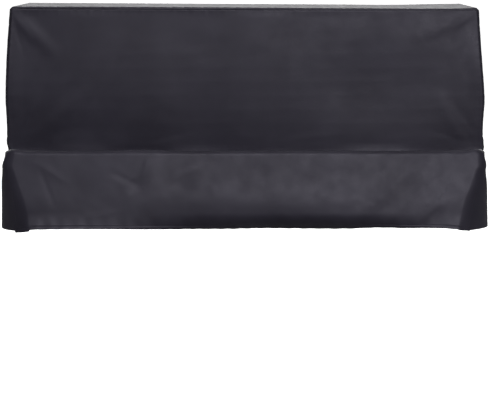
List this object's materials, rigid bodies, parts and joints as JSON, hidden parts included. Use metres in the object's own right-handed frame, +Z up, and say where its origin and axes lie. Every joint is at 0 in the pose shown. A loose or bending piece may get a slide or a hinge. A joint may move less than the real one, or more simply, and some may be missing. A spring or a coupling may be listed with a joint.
{
  "type": "piano cover",
  "caption": "Fitted half-length dust cover for an upright piano, sewn from black coated cloth, open underneath.",
  "frame": {"origin": "middle of the piano's lid, against the underside of the top panel", "axes": "+X to the right of someone facing the piano, front towards -Y, +Z up"},
  "size_m": [1.6016, 0.6954, 0.6974],
  "materials": {
    "coated_cloth": "satin black coated cloth with a fine pebble grain"
  },
  "bodies": {
    "root": {"top_panel": "coated_cloth", "front_upper": "coated_cloth", "front_lower": "coated_cloth", "side_left": "coated_cloth", "side_right": "coated_cloth", "back_panel": "coated_cloth"}
  },
  "joints": []
}
